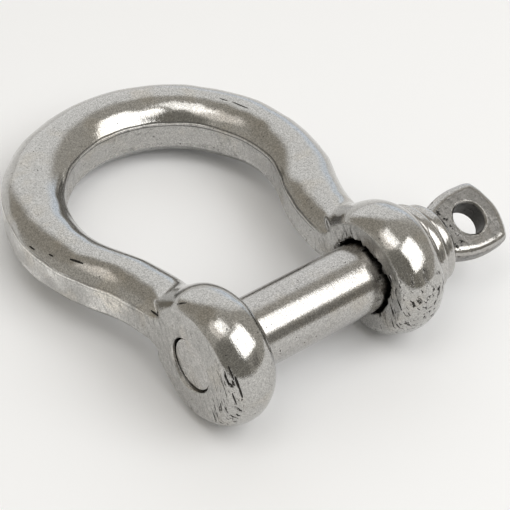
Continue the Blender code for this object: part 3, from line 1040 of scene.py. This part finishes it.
def stainless(name, colour, matte_shade, matte_roughness, polish_roughness, grain):
    """Tumbled stainless: a fine grain, polished zones, rough matte lands, scuffs, scratches and
    specks, painted shade with some soot in the bores and nicks, a painted highlight on the land's lip
    with painted shade lines beside it, and painted light on the outer land.
    """
    material = bpy.data.materials.new(name)
    material.use_nodes = True
    tree = material.node_tree
    shader = tree.nodes["Principled BSDF"]
    n = Nodes(tree)
    place = n.add("ShaderNodeAttribute", attribute_name="shackle_mm").outputs["Vector"]
    matte, polish, pale_and_painted_light = n.mask("matte"), n.mask("polish"), n.mask("pale_and_painted_light")
    soot_and_shade, scuff = n.mask("soot_and_shade"), n.mask("scuff")
    seam, edge = n.mask("seam"), n.mask("edge")

    # Grain and brushing
    fine = n.noise(place, scale=5.5, detail=2.0, roughness=0.7)
    grit = n.noise(place, scale=2.2, detail=4.0, roughness=0.65)
    broad = n.noise(place, scale=0.22, detail=3.0, roughness=0.5)
    brush = n.noise(n.stretched(place, BRUSH_STRETCH), scale=1.0, detail=3.0, roughness=0.6)

    # Scratches and dark specks
    leaning = n.add("ShaderNodeMapping", {"Vector": place, "Rotation": (STROKE_LEAN, 0, 0)})
    leaning = n.stretched(leaning.outputs["Vector"], STROKE_STRETCH)
    stroke = n.noise(leaning, scale=1.25, detail=4.0, roughness=0.65)
    deep = n.span(n.plus(stroke, n.times(scuff, SCUFF_REACH)), *DEEP_STROKES)
    faint = n.times(n.span(stroke, *FAINT_STROKES), n.times(matte, 0.5))
    speck = n.span(n.noise(place, scale=2.3, detail=1.0, roughness=0.5), *SPECKS)

    # The land's lip with a painted highlight, and a painted shade line on each side of it
    lip = n.times(n.band(seam, *LIP_BAND), edge)
    gutter = n.times(n.band(seam, *GUTTER_BAND), edge)
    under = n.times(n.band(seam, *UNDER_BAND), edge)

    # Colour
    tone = n.mix(n.span(fine, *GRAIN_SPAN), *GRAIN_TONES)
    tone = n.times(tone, n.mix(n.span(grit, *GRIT_SPAN), *GRIT_TONES))
    # Painted highlight along the land's lip, painted light on the outer land, and a paler pin end
    glow = n.plus(n.times(lip, LIP_HIGHLIGHT), n.times(pale_and_painted_light, PALE_AND_LIGHT_GAIN))
    tone = n.times(tone, n.plus(1.0, glow))
    tone = n.times(tone, n.mix(matte, 1.0, matte_shade))
    tone = n.times(tone, n.minus(1.0, n.times(faint, 0.6)))
    warm = [part * share for part, share in zip(colour, WARM_TINT)]
    warmth = n.times(n.span(broad, *WARM_SPAN), 0.5)
    tint = n.mix_colour(warmth, (*colour, 1.0), (*warm, 1.0))
    base = n.add("ShaderNodeVectorMath", {0: tint, "Scale": tone}, operation="SCALE")
    # Dark marks: scratches and specks, with painted shade (some of it soot) in the bores and nicks,
    # and painted shade lines beside the lip
    dark = n.larger(soot_and_shade, n.larger(deep, n.times(speck, 0.8)))
    dark = n.larger(dark, n.times(n.plus(gutter, under), 0.6))
    base = n.mix_colour(dark, base.outputs["Vector"], MARK_AND_SHADE_COLOUR)
    tree.links.new(base, shader.inputs["Base Color"])
    shader.inputs["Metallic"].default_value = 1.0

    # Roughness
    rough = n.mix(matte, n.mix(polish, BARE_ROUGHNESS, polish_roughness), matte_roughness)
    rough = n.plus(rough, n.times(n.minus(brush, 0.5), BRUSH_ROUGHNESS))
    rough = n.math("ADD", rough, n.times(dark, DARK_ZONE_ROUGHNESS), clamp=True)
    tree.links.new(rough, shader.inputs["Roughness"])

    # Relief
    relief = n.times(fine, n.mix(matte, 0.7 * grain, 1.6 * grain))
    relief = n.plus(relief, n.times(grit, n.mix(matte, 0.5 * grain, 2.0 * grain)))
    relief = n.plus(relief, n.times(brush, 1.3 * grain))
    relief = n.minus(relief, n.times(n.plus(deep, faint), 4.0 * grain))
    relief = n.plus(relief, n.times(n.minus(lip, gutter), 3.0 * grain))
    bump = n.add("ShaderNodeBump", {"Height": relief, "Strength": BUMP_STRENGTH, "Distance": MM})
    tree.links.new(bump.outputs["Normal"], shader.inputs["Normal"])
    return material


def make_floor():
    bm = bmesh.new()
    bmesh.ops.create_grid(bm, x_segments=8, y_segments=8, size=FLOOR_HALF)
    floor = object_of("floor", bm)
    material = bpy.data.materials.new("pale_floor")
    material.use_nodes = True
    shader = material.node_tree.nodes["Principled BSDF"]
    shader.inputs["Base Color"].default_value = (0.92, 0.93, 0.95, 1.0)
    shader.inputs["Roughness"].default_value = 0.75
    shader.inputs["Specular IOR Level"].default_value = 0.2
    floor.data.materials.append(material)


# ---- light and camera ----


def way_to(azimuth, elevation):
    """Unit direction from angles in degrees: azimuth 0 is -Y, the front, and 90 is +X."""
    a, e = math.radians(azimuth), math.radians(elevation)
    return Vector((math.sin(a) * math.cos(e), -math.cos(a) * math.cos(e), math.sin(e)))


def softbox(name, azimuth, elevation, width, height, radiance):
    """A rectangular lamp at LAMP_DISTANCE from the shackle, facing it."""
    lamp = bpy.data.lights.new(name, "AREA")
    lamp.shape = "RECTANGLE"
    lamp.size, lamp.size_y = width, height
    lamp.energy = radiance * math.pi * width * height
    lamp.color = WARM_WHITE
    obj = bpy.data.objects.new(name, lamp)
    bpy.context.scene.collection.objects.link(obj)
    way = way_to(azimuth, elevation)
    centre = Vector((0.0, 0.0, cad_high.z / 2))
    facing = way.to_track_quat("Z", "Y").to_matrix().to_4x4()
    obj.matrix_world = Matrix.Translation(centre + way * LAMP_DISTANCE) @ facing


def make_light():
    """Two softboxes in a dim room, whose walls are soft patches of colour."""
    softbox("key", azimuth=22.0, elevation=52.0, width=0.52, height=0.46, radiance=2.4)
    softbox("overhead", azimuth=-85.0, elevation=76.0, width=0.26, height=0.26, radiance=1.4)
    world = bpy.data.worlds.new("studio")
    bpy.context.scene.world = world
    world.use_nodes = True
    tree = world.node_tree
    n = Nodes(tree)
    way = n.add("ShaderNodeTexCoord").outputs["Generated"]
    colour = (*ROOM_COLOUR, 1.0)
    for azimuth, elevation, core, edge, tone in ROOM:
        inputs = {0: way, 1: way_to(azimuth, elevation)}
        toward = n.add("ShaderNodeVectorMath", inputs, operation="DOT_PRODUCT").outputs["Value"]
        share = n.span(toward, math.cos(math.radians(edge)), math.cos(math.radians(core)))
        colour = n.mix_colour(share, colour, (*tone, 1.0))
    background = tree.nodes["Background"]
    tree.links.new(colour, background.inputs["Color"])
    background.inputs["Strength"].default_value = ROOM_STRENGTH


def make_camera():
    back = way_to(VIEW_AZIMUTH, VIEW_ELEVATION)
    right = (-back).cross(Vector((0.0, 0.0, 1.0))).normalized()
    up = right.cross(-back)
    turned_right = right * math.cos(VIEW_ROLL) + up * math.sin(VIEW_ROLL)
    turned_up = up * math.cos(VIEW_ROLL) - right * math.sin(VIEW_ROLL)
    axes = Matrix((turned_right, turned_up, back)).transposed()
    data = bpy.data.cameras.new("camera")
    data.lens = LENS
    data.clip_start, data.clip_end = 0.01, 10.0
    camera = bpy.data.objects.new("camera", data)
    bpy.context.scene.collection.objects.link(camera)
    spot = PLACE @ (Vector(VIEW_TARGET) + back * VIEW_DISTANCE)
    facing = PLACE.to_3x3().normalized() @ axes
    camera.matrix_world = Matrix.Translation(spot) @ facing.to_4x4()
    bpy.context.scene.camera = camera


forged = stainless(
    "forged_stainless",
    (0.50, 0.492, 0.475),
    matte_shade=1.10,
    matte_roughness=0.36,
    polish_roughness=0.09,
    grain=0.016,
)
turned = stainless(
    "pin_stainless",
    (0.49, 0.48, 0.465),
    matte_shade=0.55,
    matte_roughness=0.30,
    polish_roughness=0.14,
    grain=0.016,
)
polished = stainless(
    "collar_stainless",
    (0.52, 0.51, 0.495),
    matte_shade=1.0,
    matte_roughness=0.4,
    polish_roughness=0.10,
    grain=0.01,
)
make_bow(forged)
make_pin(turned)
make_collar(polished)
make_floor()
make_light()
make_camera()
bpy.context.scene.view_settings.view_transform = "Standard"
